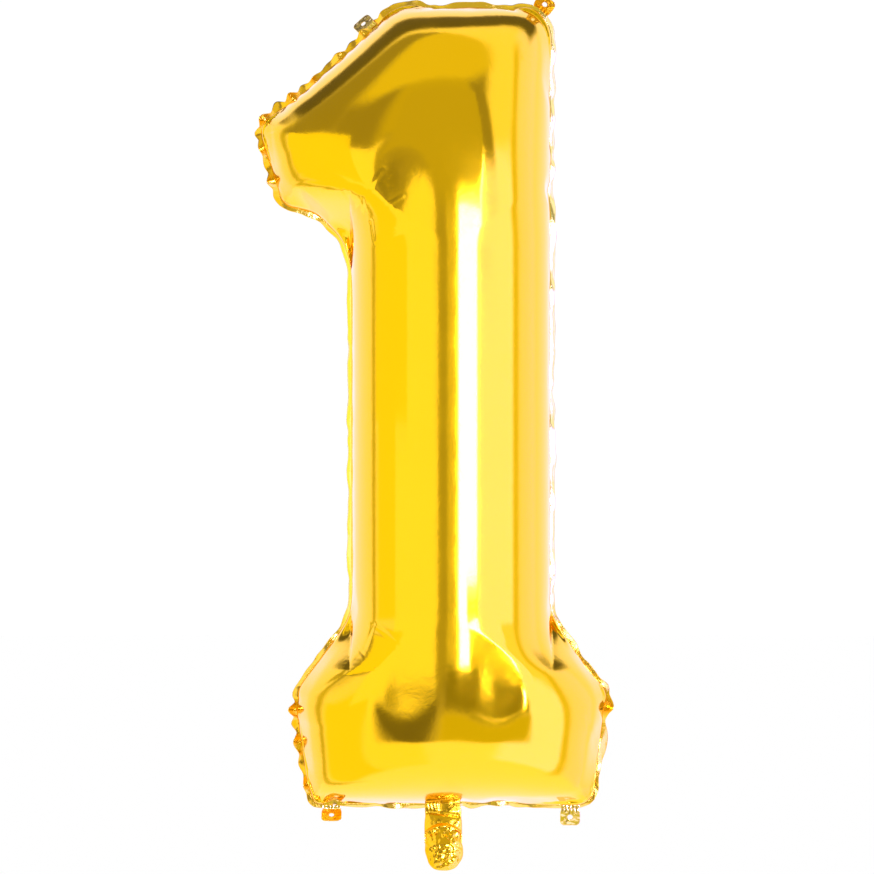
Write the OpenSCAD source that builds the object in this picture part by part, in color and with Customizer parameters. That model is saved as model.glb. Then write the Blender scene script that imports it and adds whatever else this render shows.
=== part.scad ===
// Inflated foil balloon in the shape of the figure 1, hung by its top tabs.
// Front faces -Y, +Z is up, and the origin is midway between the two top tab holes.

/* [Body] */
// Height of the inflated body, bottom edge to top edge
body_h = 870; // [760:5:1060]
// Width of the inflated stem
stem_w = 217; // [180:1:262]
// Depth of the inflated stem, front to back
body_d = 230; // [185:1:276]
// Rounding of the body's convex corners
corner_r = 14; // [8:1:20]

/* [Head] */
// Width of the top edge, from the right side to where the slope starts
top_w = 166; // [140:1:190]
// Rounding of the top right corner
top_r = 38; // [30:1:50]
// Rounding where the slope meets the top edge
brow_r = 50; // [30:1:70]
// How far the flag reaches beyond the stem
flag_reach = 99; // [80:1:125]
// Height of the flag's upper corner below the top edge
flag_drop = 132; // [105:1:165]
// Height of the flag's end
flag_end = 81; // [64:1:98]
// How far the flag's lower corner is set back from its upper one
flag_back = 23; // [10:1:30]
// Drop of the flag's underside from its end to the stem
elbow_drop = 30; // [24:1:40]
// Rounding of the inner elbow under the flag
elbow_r = 80; // [60:1:100]

/* [Base] */
// How far the base stands out beyond the stem on each side
base_reach = 61; // [50:1:75]
// How much narrower the base is at the bottom edge, each side
base_taper = 17; // [8:1:22]
// Height of the base's shoulders
base_h = 120; // [100:1:150]
// Height where the sides of the stem would meet the flare
flare_h = 206; // [190:1:240]
// Rounding of the flare
flare_r = 70; // [50:1:90]

/* [Film] */
// Thickness of one ply of film, a stand-in for a real 0.04 mm laminate
film_t = 0.4; // [0.3:0.05:0.6]
// Width of the heat-sealed seam outside the inflated edge
seam_w = 5; // [3.5:0.5:8]
// Width of each panel's rim on the seam
rim_w = 1; // [0.8:0.1:1.5]

/* [Tabs] */
// Width of a hanging tab
tab_w = 22; // [16:1:30]
// Length of a hanging tab from its fold
tab_len = 19; // [15:1:26]
// Rounding of a tab's free corners
tab_r = 5; // [2:0.5:7]
// Radius of the punched hole
hole_r = 2.75; // [2:0.25:3.5]
// Distance of the hole from the fold
hole_in = 9.5; // [8:0.5:12]
// Distance of the top left tab from the brow, along the slope
slope_tab = 40; // [34:1:60]
// Distance of the bottom tabs from the base's corners
base_tab = 22; // [20:1:40]

/* [Neck] */
// Sideways place of the neck, from the middle of the stem
neck_x = -8; // [-30:1:30]
// Width of the neck
neck_w = 42; // [34:1:50]
// Length of the neck's flat part
neck_len = 32; // [26:1:45]
// Width of each side weld of the neck
neck_weld = 3.5; // [2.5:0.5:5]
// Length of the puffed tail below the neck
tail_len = 34; // [28:1:45]
// Thickness of the puffed tail
tail_d = 15; // [10:1:20]
// Rounding of the tail's end
tail_r = 15; // [8:1:17]

/* [Valve] */
// Clearance between a valve film and the neck's side welds
valve_side = 1.5; // [1:0.25:3]
// Thickness of one valve film, a stand-in for a real 0.05 mm film
valve_t = 0.2; // [0.1:0.05:0.25]
// Clearance between the two valve films
valve_gap = 0.2; // [0.1:0.05:0.3]
// Height of the welded throat above the bottom edge
throat_h = 14; // [8:1:20]
// Height of the free flaps above the throat
flap_h = 84; // [50:1:110]

/* [Hidden] */

foil = [0.93, 0.73, 0.08];
foil_pale = [0.98, 0.86, 0.42];
foil_deep = [0.85, 0.58, 0.06];
clear_film = [0.88, 0.92, 0.95, 0.5];

seam_t = 2 * film_t;
half_d = (body_d - seam_t) / 2;
valve_w = neck_w - 2 * neck_weld - 2 * valve_side;
// A fold leaves this much room on each side, so that the plates clear each other up to a right angle
fold_gap = 1.5 * film_t;
neck_fold = 2 * fold_gap;
// Straight margin between the seam's edge and a fold
ear = 1.5;
// Rest tilt of each tab towards the back, and where on its rounding the top right one stands
tilt_top_left = 48;
tilt_top_right = -38;
tilt_bottom_left = -52;
tilt_bottom_right = 14;
crown_angle = 52;
// Steps of the panels' grid and of the round shapes
arc_steps = 4;
columns = 16;
edge_rows = 9;
smallest_row = 1.6;
round_steps = 48;
bow_steps = 96;
// Overlap of two shapes that are joined, and the tolerance on a height
lap = 1;
same = 1e-6;

stem_x = stem_w / 2;
// Corners of the inflated outline as [x, z, rounding], anticlockwise from the bottom left
corners = [
    [-stem_x - base_reach + base_taper, 0, corner_r],
    [stem_x + base_reach - base_taper, 0, corner_r],
    [stem_x + base_reach, base_h, corner_r],
    [stem_x, flare_h, flare_r],
    [stem_x, body_h, top_r],
    [stem_x - top_w, body_h, brow_r],
    [-stem_x - flag_reach, body_h - flag_drop, corner_r],
    [-stem_x - flag_reach + flag_back, body_h - flag_drop - flag_end, corner_r],
    [-stem_x, body_h - flag_drop - flag_end - elbow_drop, elbow_r],
    [-stem_x, flare_h, flare_r],
    [-stem_x - base_reach, base_h, corner_r]
];

function unit(v) = v / norm(v);
function flat(p) = [p[0], p[1]];
function outward(a, b) = unit([b[1] - a[1], a[0] - b[0]]);
function turn(a, b, c) = (b[0] - a[0]) * (c[1] - b[1]) - (b[1] - a[1]) * (c[0] - b[0]);
function at(list, i) = list[(i + len(list)) % len(list)];

// The corners moved out by grow, with their roundings grown or shrunk to suit
function grown(list, grow) = [
    for (i = [0:len(list) - 1])
        let (
            a = at(list, i - 1), b = list[i], c = at(list, i + 1),
            n1 = outward(a, b), n2 = outward(b, c),
            p = flat(b) + grow * (n1 + n2) / (1 + n1 * n2),
            side = turn(a, b, c) > 0 ? 1 : -1
        )
        [p[0], p[1], b[2] + side * grow]
];

// Points of the arc that rounds corner b
function arc(a, b, c) =
    let (
        u = unit(flat(a) - flat(b)), v = unit(flat(c) - flat(b)),
        half = acos(u * v) / 2,
        centre = flat(b) + unit(u + v) * b[2] / sin(half),
        from = flat(b) + u * b[2] / tan(half) - centre,
        to = flat(b) + v * b[2] / tan(half) - centre,
        sweep = acos(from * to / (b[2] * b[2])) * (turn(a, b, c) > 0 ? 1 : -1),
        start = atan2(from[1], from[0])
    )
    [for (k = [0:arc_steps]) centre + b[2] * [cos(start + sweep * k / arc_steps),
        sin(start + sweep * k / arc_steps)]];

function rounded(list) = [
    for (i = [0:len(list) - 1]) each arc(at(list, i - 1), list[i], at(list, i + 1))
];

outline = rounded(corners);

// Sideways places where the outline crosses height z
function crossings(z) = [
    for (i = [0:len(outline) - 1])
        let (a = outline[i], b = at(outline, i + 1), low = min(a[1], b[1]), high = max(a[1], b[1]))
        if (z >= low - same && z <= high + same)
            each high - low < same ? [a[0], b[0]] : [a[0] + (b[0] - a[0]) * (z - a[1]) / (b[1] - a[1])]
];

function segment_gap(p, a, b) =
    let (d = b - a, s = max(0, min(1, (p - a) * d / (d * d))))
    norm(p - a - s * d);

// Distance from point p to the outline
function edge_gap(p) = min([
    for (i = [0:len(outline) - 1]) segment_gap(p, outline[i], at(outline, i + 1))
]);

function sorted(list) = len(list) < 2 ? list : let (
    pivot = list[floor(len(list) / 2)],
    low = [for (v = list) if (v < pivot) v],
    high = [for (v = list) if (v > pivot) v]
) concat(sorted(low), [pivot], sorted(high));

// Heights close above the last one kept are dropped, and both ends stay
function spaced(list, i = 1, kept = [0]) =
    i >= len(list) - 1 ? concat(kept, [body_h]) :
    spaced(list, i + 1, list[i] - kept[len(kept) - 1] > smallest_row
        && body_h - list[i] > smallest_row ? concat(kept, [list[i]]) : kept);

end_rows = [for (k = [1:edge_rows]) stem_x * (1 - cos(90 * k / edge_rows))];
rows = spaced(sorted(concat([0, body_h], [for (p = outline) p[1]],
    end_rows, [for (v = end_rows) body_h - v])));

// One skin of a panel as rows of points: inset is 0 for the outer skin
function skin(inset) = [
    for (i = [0:len(rows) - 1])
        let (
            thick = inset > 0 ? film_t : 0,
            z = inset + (body_h - 2 * inset) * rows[i] / body_h,
            x = crossings(z), left = min(x) + inset, right = max(x) - inset
        )
        for (j = [0:columns])
            let (
                p = [left + (right - left) * (1 - cos(180 * j / columns)) / 2, z],
                rim = i == 0 || i == len(rows) - 1 || j == 0 || j == columns,
                away = (stem_x - min(stem_x, edge_gap(p))) / (stem_x - thick),
                bulge = rim ? 0 : (half_d - thick) * sqrt(max(0, 1 - away * away))
            )
            [p[0], -bulge, p[1]]
];

stride = columns + 1;
row_count = len(rows);
skin_size = stride * row_count;
rim_path = concat(
    [for (j = [0:columns - 1]) j],
    [for (i = [0:row_count - 2]) i * stride + columns],
    [for (j = [columns:-1:1]) (row_count - 1) * stride + j],
    [for (i = [row_count - 1:-1:1]) i * stride]
);
panel_faces = concat(
    [for (i = [0:row_count - 2]) for (j = [0:columns - 1]) let (a = i * stride + j)
        each [[a, a + stride, a + stride + 1], [a, a + stride + 1, a + 1]]],
    [for (i = [0:row_count - 2]) for (j = [0:columns - 1]) let (a = skin_size + i * stride + j)
        each [[a, a + stride + 1, a + stride], [a, a + 1, a + stride + 1]]],
    [for (k = [0:len(rim_path) - 1]) let (a = rim_path[k], b = at(rim_path, k + 1))
        each [[a, b, b + skin_size], [a, b + skin_size, a + skin_size]]]
);

// Tabs as [fold point, direction outward in degrees from +X, rest tilt towards the back]
brow = flat(corners[5]);
slope = unit(flat(corners[6]) - brow);
slope_out = outward(corners[5], corners[6]);
crown_centre = [stem_x - top_r, body_h - top_r];
base_x = stem_x + base_reach - base_taper - base_tab;
fold_out = seam_w + ear;
tab_top_left_place = [brow + slope * slope_tab + slope_out * fold_out,
    atan2(slope_out[1], slope_out[0]), tilt_top_left];
tab_top_right_place = [crown_centre + (top_r + fold_out) * [cos(crown_angle), sin(crown_angle)],
    crown_angle, tilt_top_right];
tab_bottom_left_place = [[-base_x, -fold_out], -90, tilt_bottom_left];
tab_bottom_right_place = [[base_x, -fold_out], -90, tilt_bottom_right];
neck_place = [[neck_x, -fold_out], -90, 0];
tail_place = [[neck_x, -fold_out - neck_len - neck_fold], -90, 0];

// Radius that bows the tail's two plies apart by tail_d over the tail's length
tail_run = tail_len - fold_gap;
tail_bow = (pow(tail_run / 2, 2) + pow(tail_d / 2, 2)) / tail_d;

// The two top holes, and the point midway between them where the frame's origin is
function hole_at(place) = [
    place[0][0] + hole_in * cos(place[2]) * cos(place[1]),
    hole_in * sin(place[2]),
    place[0][1] + hole_in * cos(place[2]) * sin(place[1])
];
hang = (hole_at(tab_top_left_place) + hole_at(tab_top_right_place)) / 2;

module in_frame() {
    translate(-hang) children();
}

// Local frame at a fold: +X runs outward, Y is the film's depth and Z lies along the fold
module at_fold(place) {
    translate([place[0][0], 0, place[0][1]])
        rotate([0, -place[1], 0])
            children();
}

module panel() {
    translate([0, -seam_t / 2, 0])
        polyhedron(points = concat(skin(0), skin(rim_w)), faces = panel_faces, convexity = 6);
}

module front_panel() {
    color(foil) in_frame() panel();
}

module back_panel() {
    color(foil) in_frame() mirror([0, 1, 0]) panel();
}

// A flat bridge from the seam's edge to a fold
module seam_ear(place, wide) {
    at_fold(place)
        translate([-fold_gap - ear - seam_w / 2, -seam_t / 2, -wide / 2])
            cube([ear + seam_w / 2, seam_t, wide]);
}

// The welded edge, open where the neck's channel and the valve pass through it
module seam_band() {
    color(foil_pale) in_frame() difference() {
        union() {
            translate([0, seam_t / 2, 0]) rotate([90, 0, 0])
                linear_extrude(seam_t) polygon(rounded(grown(corners, seam_w)));
            for (place = [tab_top_left_place, tab_top_right_place,
                tab_bottom_left_place, tab_bottom_right_place])
                seam_ear(place, tab_w);
            seam_ear(neck_place, neck_w);
        }
        translate([0, seam_t, 0]) rotate([90, 0, 0])
            linear_extrude(2 * seam_t) polygon(rounded(grown(corners, -rim_w)));
        translate([neck_x - neck_w / 2 + neck_weld, -seam_t, -2 * fold_out])
            cube([neck_w - 2 * neck_weld, 2 * seam_t, 2 * fold_out + 2 * rim_w]);
    }
}

// Front ply of the neck: a flat film with a weld down each side, which meets the back ply's
module neck_ply() {
    at_fold(neck_place) {
        translate([neck_fold, -seam_t / 2 - film_t, -neck_w / 2])
            cube([neck_len - neck_fold, film_t, neck_w]);
        for (side = [-1, 1])
            translate([neck_fold, -seam_t / 2, side * (neck_w - neck_weld) / 2 - neck_weld / 2])
                cube([neck_len - neck_fold, seam_t / 2, neck_weld]);
    }
}

module neck_front_film() {
    color(foil_deep) in_frame() neck_ply();
}

module neck_back_film() {
    color(foil_deep) in_frame() mirror([0, 1, 0]) neck_ply();
}

// The tail's puffed outer or inner form, less a wall
module tail_form(wall) {
    intersection() {
        rotate([90, 0, 0]) translate([0, 0, -tail_d])
            linear_extrude(2 * tail_d) tail_outline(wall);
        intersection() {
            translate([fold_gap + tail_run / 2, tail_bow - tail_d / 2, -neck_w])
                cylinder(h = 2 * neck_w, r = tail_bow - wall, $fn = bow_steps);
            translate([fold_gap + tail_run / 2, tail_d / 2 - tail_bow, -neck_w])
                cylinder(h = 2 * neck_w, r = tail_bow - wall, $fn = bow_steps);
        }
    }
}

// The tail's flat outline: square at the fold and rounded at its free end
module tail_outline(wall) {
    half = neck_w / 2 - wall;
    r = tail_r - wall;
    run = tail_len - wall;
    translate([fold_gap + wall, -half]) square([run - r - fold_gap - wall, 2 * half]);
    translate([run - r - lap, -half + r]) square([r + lap, 2 * (half - r)]);
    for (side = [-1, 1])
        translate([run - r, side * (half - r)]) circle(r = r, $fn = bow_steps);
}

module tail_ply() {
    at_fold(tail_place) difference() {
        tail_form(0);
        tail_form(film_t);
        translate([-lap, 0, -neck_w]) cube([tail_len + 2 * lap, tail_d, 2 * neck_w]);
    }
}

module tail_front_film() {
    color(foil) in_frame() tail_ply();
}

module tail_back_film() {
    color(foil) in_frame() mirror([0, 1, 0]) tail_ply();
}

// A strip of front valve film between two heights above the bottom edge
module valve_strip(low, high) {
    translate([neck_x - valve_w / 2, -valve_gap / 2 - valve_t, low])
        cube([valve_w, valve_t, high - low]);
}

module valve_inlet() {
    valve_strip(-fold_out - neck_len, -fold_out - neck_fold);
}

module valve_throat() {
    valve_strip(-fold_out, throat_h);
}

module valve_flap() {
    valve_strip(throat_h + fold_gap, throat_h + flap_h);
}

module valve_front_inlet() {
    color(clear_film) in_frame() valve_inlet();
}

module valve_back_inlet() {
    color(clear_film) in_frame() mirror([0, 1, 0]) valve_inlet();
}

module valve_front_throat() {
    color(clear_film) in_frame() valve_throat();
}

module valve_back_throat() {
    color(clear_film) in_frame() mirror([0, 1, 0]) valve_throat();
}

module valve_front_flap() {
    color(clear_film) in_frame() valve_flap();
}

module valve_back_flap() {
    color(clear_film) in_frame() mirror([0, 1, 0]) valve_flap();
}

// A two-ply tab with its punched hole
module tab(place) {
    color(foil_deep) in_frame() at_fold(place) rotate([0, 0, place[2]]) difference() {
        translate([0, seam_t / 2, 0]) rotate([90, 0, 0]) linear_extrude(seam_t) {
            translate([fold_gap, -tab_w / 2]) square([tab_len - tab_r - fold_gap, tab_w]);
            translate([tab_len - tab_r - lap, -tab_w / 2 + tab_r])
                square([tab_r + lap, tab_w - 2 * tab_r]);
            for (side = [-1, 1])
                translate([tab_len - tab_r, side * (tab_w / 2 - tab_r)])
                    circle(r = tab_r, $fn = round_steps);
        }
        translate([hole_in, seam_t, 0]) rotate([90, 0, 0])
            cylinder(h = 2 * seam_t, r = hole_r, $fn = round_steps);
    }
}

module tab_top_left() { tab(tab_top_left_place); }
module tab_top_right() { tab(tab_top_right_place); }
module tab_bottom_left() { tab(tab_bottom_left_place); }
module tab_bottom_right() { tab(tab_bottom_right_place); }

front_panel();
back_panel();
seam_band();
neck_front_film();
neck_back_film();
tail_front_film();
tail_back_film();
valve_front_inlet();
valve_back_inlet();
valve_front_throat();
valve_back_throat();
valve_front_flap();
valve_back_flap();
tab_top_left();
tab_top_right();
tab_bottom_left();
tab_bottom_right();
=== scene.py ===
import math
import bpy
import numpy as np
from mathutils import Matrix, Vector, geometry


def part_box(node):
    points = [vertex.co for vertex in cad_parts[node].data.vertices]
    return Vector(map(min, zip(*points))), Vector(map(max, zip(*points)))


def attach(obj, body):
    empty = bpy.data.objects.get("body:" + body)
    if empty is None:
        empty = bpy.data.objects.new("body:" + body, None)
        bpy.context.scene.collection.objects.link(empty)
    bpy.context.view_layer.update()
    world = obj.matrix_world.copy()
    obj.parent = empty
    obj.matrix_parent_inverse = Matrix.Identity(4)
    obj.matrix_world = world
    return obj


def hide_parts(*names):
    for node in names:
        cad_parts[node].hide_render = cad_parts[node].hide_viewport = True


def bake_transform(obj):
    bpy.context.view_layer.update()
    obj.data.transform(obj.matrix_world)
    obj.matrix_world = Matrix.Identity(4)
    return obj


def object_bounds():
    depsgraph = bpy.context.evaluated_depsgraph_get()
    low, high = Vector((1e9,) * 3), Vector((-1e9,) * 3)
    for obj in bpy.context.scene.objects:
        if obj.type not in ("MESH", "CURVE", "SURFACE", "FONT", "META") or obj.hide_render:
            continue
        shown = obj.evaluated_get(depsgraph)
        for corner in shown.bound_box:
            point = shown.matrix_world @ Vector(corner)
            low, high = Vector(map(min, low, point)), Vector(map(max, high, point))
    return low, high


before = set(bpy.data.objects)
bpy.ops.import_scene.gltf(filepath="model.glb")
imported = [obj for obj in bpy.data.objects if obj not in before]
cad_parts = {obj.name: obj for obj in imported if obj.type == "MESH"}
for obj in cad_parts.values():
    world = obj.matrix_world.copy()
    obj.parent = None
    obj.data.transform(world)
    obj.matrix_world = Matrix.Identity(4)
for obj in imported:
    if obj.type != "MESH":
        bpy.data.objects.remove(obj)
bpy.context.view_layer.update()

# The body's own measures are in millimetres: x from the stem's middle, y from the seam, z from the bottom edge
baseHalfWidth = 0.1695
frontLow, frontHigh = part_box("front_panel")
home = np.array([frontHigh.x - baseHalfWidth, (frontHigh.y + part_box("back_panel")[0].y) / 2, frontLow.z])


def placed(points):
    return np.asarray(points, float) / 1000 + home


def unit(v):
    return v / np.linalg.norm(v)


def smoothLoop(values, reach):
    size = int(4 * reach) + 1
    weights = np.exp(-0.5 * (np.arange(-size, size + 1) / reach) ** 2)
    weights /= weights.sum()
    return sum(w * np.roll(values, k - size, axis=0) for k, w in enumerate(weights))


def waves(seed, count, reach):
    rng = np.random.default_rng(seed)
    return smoothLoop(rng.normal(size=count), reach) * math.sqrt(2 * math.sqrt(math.pi) * reach)


def deselectAll():
    bpy.ops.object.select_all(action="DESELECT")


def makeActive(obj):
    deselectAll()
    obj.select_set(True)
    bpy.context.view_layer.objects.active = obj


def newMesh(name, points, faces):
    mesh = bpy.data.meshes.new(name)
    mesh.from_pydata([tuple(map(float, p)) for p in points], [], [tuple(map(int, f)) for f in faces])
    mesh.update()
    obj = bpy.data.objects.new(name, mesh)
    bpy.context.scene.collection.objects.link(obj)
    return obj


def readPoints(mesh):
    points = np.zeros(len(mesh.vertices) * 3, np.float32)
    mesh.vertices.foreach_get("co", points)
    return points.reshape(-1, 3).astype(float)


def writePoints(mesh, points):
    mesh.vertices.foreach_set("co", np.asarray(points, np.float32).ravel())
    mesh.update()


def shadeSmooth(obj):
    obj.data.polygons.foreach_set("use_smooth", [True] * len(obj.data.polygons))
    obj.data.update()


def applyModifiers(obj):
    makeActive(obj)
    for modifier in list(obj.modifiers):
        bpy.ops.object.modifier_apply(modifier=modifier.name)


inflated = {  # the inflated outline's corners as x, z, rounding, anticlockwise from the bottom left
    "corners": [(-152.5, 0, 14), (152.5, 0, 14), (169.5, 120, 14), (108.5, 206, 70), (108.5, 870, 38),
                (-57.5, 870, 50), (-207.5, 738, 14), (-184.5, 657, 14), (-108.5, 627, 80),
                (-108.5, 206, 70), (-169.5, 120, 14)],
    "step": 3,
    "depth": 222,
    "stemHalf": 108.5,
}
film = {  # the two flat sheets as they are cut, and how they are blown up
    "corners": [(-160, -45, 28), (170, -30, 28), (210, 105, 26), (180, 210, 50), (130, 895, 60),
                (-65, 930, 60), (-240, 775, 24), (-230, 680, 24), (-180, 620, 50),
                (-170, 205, 50), (-205, 100, 26)],
    "bows": [4, 3, -2, 10, -4, -4, 0, -7, -2, 0, 10],
    "step": 9,
    "frames": 38,
    "flange": 5.5,
    "pressure": 10,
    "tension": 80,
    "compression": 14,
    "shear": 20,
    "bending": 0.02,
    "mass": 0.02,
    "quality": 5,
    "damping": 5,
    "bendingDamping": 0.5,
    "airDamping": 2,
}


def arcPoints(a, b, c, r, step):
    a, b, c = (np.array(p, float) for p in (a, b, c))
    u, v = unit(a - b), unit(c - b)
    half = math.acos(np.clip(u @ v, -1, 1)) / 2
    centre = b + unit(u + v) * r / math.sin(half)
    start, end = b + u * r / math.tan(half) - centre, b + v * r / math.tan(half) - centre
    leftTurn = (b[0] - a[0]) * (c[1] - b[1]) - (b[1] - a[1]) * (c[0] - b[0]) > 0
    sweep = math.acos(np.clip(start @ end / r / r, -1, 1)) * (1 if leftTurn else -1)
    first = math.atan2(start[1], start[0])
    count = max(2, 2 * round(abs(sweep) * r / step / 2))
    angles = first + sweep * np.arange(count + 1) / count
    return centre + r * np.stack([np.cos(angles), np.sin(angles)], 1)


def outlinePoints(corners, step, bows=None):
    n = len(corners)
    arcs = [arcPoints(corners[i - 1][:2], corners[i][:2], corners[(i + 1) % n][:2], corners[i][2], step)
            for i in range(n)]
    points, middles = [], []
    for i in range(n):
        middles.append(len(points) + len(arcs[i]) // 2)
        points += list(arcs[i][:-1])
        a, b = arcs[i][-1], arcs[(i + 1) % n][0]
        run = b - a
        count = max(1, round(np.linalg.norm(run) / step))
        side = np.array([run[1], -run[0]]) / np.linalg.norm(run)
        t = np.arange(count) / count
        bow = 4 * (bows[i] if bows else 0) * t * (1 - t)
        points += list(a + run * t[:, None] + side * bow[:, None])
    return np.array(points), middles


def insideOutline(points, outline):
    inside = np.zeros(len(points), bool)
    for a, b in zip(outline, np.roll(outline, -1, 0)):
        across = (a[1] > points[:, 1]) != (b[1] > points[:, 1])
        cut = a[0] + (points[:, 1] - a[1]) * (b[0] - a[0]) / (b[1] - a[1] + 1e-12)
        inside ^= across & (points[:, 0] < cut)
    return inside


def lineDistance(points, a, b):
    run = b - a
    share = np.clip(((points - a) @ run) / (run @ run), 0, 1)
    return np.linalg.norm(points - a - share[:, None] * run, axis=1), share


def outlineDistance(points, outline):
    best = np.full(len(points), 1e9)
    for a, b in zip(outline, np.roll(outline, -1, 0)):
        best = np.minimum(best, lineDistance(points, a, b)[0])
    return best


print("cutting the film")
flatEdge, flatMiddles = outlinePoints(film["corners"], film["step"], film["bows"])
edgeCount = len(flatEdge)
tangent = np.roll(flatEdge, -1, 0) - np.roll(flatEdge, 1, 0)
tangent /= np.linalg.norm(tangent, axis=1)[:, None]
flatOut = np.stack([tangent[:, 1], -tangent[:, 0]], 1)
flatLow, flatHigh = flatEdge.min(0), flatEdge.max(0)
flatX = np.arange(flatLow[0] + film["step"] / 2, flatHigh[0], film["step"])
flatZ = np.arange(flatLow[1] + film["step"] / 2, flatHigh[1], film["step"])
lattice = np.stack(np.meshgrid(flatX, flatZ), -1).reshape(-1, 2)
lattice = lattice[insideOutline(lattice, flatEdge)]
lattice = lattice[outlineDistance(lattice, flatEdge) > 0.6 * film["step"]]
cut = geometry.delaunay_2d_cdt([Vector(p) for p in flatEdge] + [Vector(p) for p in lattice],
                               [(i, (i + 1) % edgeCount) for i in range(edgeCount)], [], 1, 1e-4)
flatPoints = np.array([tuple(p) for p in cut[0]])
pointCount = len(flatPoints)
inner = flatPoints[edgeCount:]
flange = [flatEdge + flatOut * film["flange"] * share for share in (0.5, 1)]
flatAll = np.concatenate([flatPoints, inner] + flange)
startY = np.concatenate([np.where(np.arange(pointCount) < edgeCount, 0, -1.0),
                         np.ones(len(inner)), np.zeros(2 * edgeCount)])
ringOne = 2 * pointCount - edgeCount
ringTwo = ringOne + edgeCount


def backIndex(i):
    return i if i < edgeCount else i + pointCount - edgeCount


faces, sides = [], []
for f in cut[2]:
    a, b, c = flatPoints[list(f)]
    f = tuple(f) if np.cross(b - a, c - a) > 0 else (f[0], f[2], f[1])
    faces += [f, tuple(backIndex(i) for i in reversed(f))]
    sides += [0, 1]
for i in range(edgeCount):
    j = (i + 1) % edgeCount
    faces += [(ringOne + i, ringOne + j, j, i), (ringTwo + i, ringTwo + j, ringOne + j, ringOne + i)]
    sides += [2, 2]

bag = newMesh("bag", np.stack([flatAll[:, 0], startY, flatAll[:, 1]], 1) / 1000, faces)
bag.data.polygons.foreach_set("material_index", sides)
for k in range(3):
    bag.data.materials.append(bpy.data.materials.new(f"side{k}"))
place = bag.data.attributes.new("flatPlace", "FLOAT_VECTOR", "POINT")
flatPlaces = np.stack([flatAll[:, 0], flatAll[:, 1], 0 * flatAll[:, 0]], 1)
place.data.foreach_set("vector", flatPlaces.astype(np.float32).ravel())
makeActive(bag)
bpy.ops.object.mode_set(mode="EDIT")
bpy.ops.mesh.select_all(action="SELECT")
bpy.ops.mesh.tris_convert_to_quads(face_threshold=math.radians(30), shape_threshold=math.radians(40),
                                   materials=True)
bpy.ops.object.mode_set(mode="OBJECT")

print("blowing it up")
gas = bag.vertex_groups.new(name="gas")
gas.add(list(range(ringOne)), 1.0, "REPLACE")
cloth = bag.modifiers.new("Cloth", "CLOTH")
settings = cloth.settings
settings.quality = film["quality"]
settings.mass = film["mass"]
settings.tension_stiffness = film["tension"]
settings.compression_stiffness = film["compression"]
settings.shear_stiffness = film["shear"]
settings.bending_stiffness = film["bending"]
settings.tension_damping = settings.compression_damping = settings.shear_damping = film["damping"]
settings.bending_damping = film["bendingDamping"]
settings.air_damping = film["airDamping"]
settings.use_pressure = True
settings.uniform_pressure_force = film["pressure"]
settings.vertex_group_pressure = "gas"
settings.effector_weights.gravity = 0
cloth.collision_settings.use_collision = False
cloth.point_cache.frame_end = film["frames"] + 1
for step in range(1, film["frames"] + 1):
    bpy.context.scene.frame_set(step)
blown = bag.evaluated_get(bpy.context.evaluated_depsgraph_get())
points = readPoints(blown.data) * 1000
bag.modifiers.clear()
bpy.context.scene.frame_set(1)

print("easing the seam onto its outline")
easing = {  # how the blown seam is drawn onto the outline, lengths in millimetres
    "calm": 24,
    "spread": 14,
    "flatten": 0.7,
    "fall": 2.5,
    "batch": 2000,
}
goalEdge, goalMiddles = outlinePoints(inflated["corners"], inflated["step"])


def alongLoop(loop):
    return np.concatenate([[0], np.cumsum(np.linalg.norm(np.roll(loop, -1, 0) - loop, axis=1))])


seam = points[:edgeCount][:, [0, 2]]
calmSeam = smoothLoop(seam, easing["calm"] / film["step"])
seamRun, goalRun = alongLoop(calmSeam), alongLoop(goalEdge)
goalLoop = np.concatenate([goalEdge, goalEdge[:1]])
goal = np.zeros_like(seam)
cornerCount = len(film["corners"])
for i in range(cornerCount):
    a, b = flatMiddles[i], flatMiddles[(i + 1) % cornerCount]
    goalStart, goalEnd = goalMiddles[i], goalMiddles[(i + 1) % cornerCount]
    span = (b - a) % edgeCount
    index = (a + np.arange(span)) % edgeCount
    run = (seamRun[index] - seamRun[a]) % seamRun[-1] / ((seamRun[b] - seamRun[a]) % seamRun[-1])
    target = goalRun[goalStart] + run * ((goalRun[goalEnd] - goalRun[goalStart]) % goalRun[-1])
    goal[index] = np.stack([np.interp(target % goalRun[-1], goalRun, goalLoop[:, k]) for k in (0, 1)], 1)
shift = smoothLoop(goal - calmSeam, easing["spread"] / film["step"]) - easing["flatten"] * (seam - calmSeam)
shift = np.stack([shift[:, 0], -easing["flatten"] * points[:edgeCount, 1], shift[:, 1]], 1)
allShift = np.zeros((len(points), 3))
for start in range(0, len(points), easing["batch"]):
    part = slice(start, start + easing["batch"])
    gap = np.linalg.norm(flatAll[part][:, None] - flatEdge[None], axis=2)
    weight = 1 / (gap + 1) ** easing["fall"]
    allShift[part] = (weight @ shift) / weight.sum(1)[:, None]
points += allShift
print("depth as blown", round(float(np.ptp(points[:, 1]))))
points[:, 1] *= inflated["depth"] / np.ptp(points[:ringOne, 1])

print("calming the film")
calm = {  # how much the blown film is smoothed, all over and along the stem, lengths in millimetres
    "rounds": 10,
    "all": 0.25,
    "stem": 0.6,
    "giveBack": 0.96,
    "stemRise": (192, 262),
    "stemFall": (575, 645),
    "evenRounds": 30,
    "even": 0.5,
    "evenRise": (20, 45),
}
edges = np.array([tuple(e.vertices) for e in bag.data.edges])
edges = edges[(edges < ringOne).all(1)]
degree = np.bincount(edges.ravel(), minlength=len(points))[:, None]


def neighbourMean(values):
    total = np.zeros_like(values)
    np.add.at(total, edges[:, 0], values[edges[:, 1]])
    np.add.at(total, edges[:, 1], values[edges[:, 0]])
    return total / np.maximum(degree, 1)


def ramp(value, low, high):
    t = np.clip((value - low) / (high - low), 0, 1)
    return t * t * (3 - 2 * t)


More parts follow.
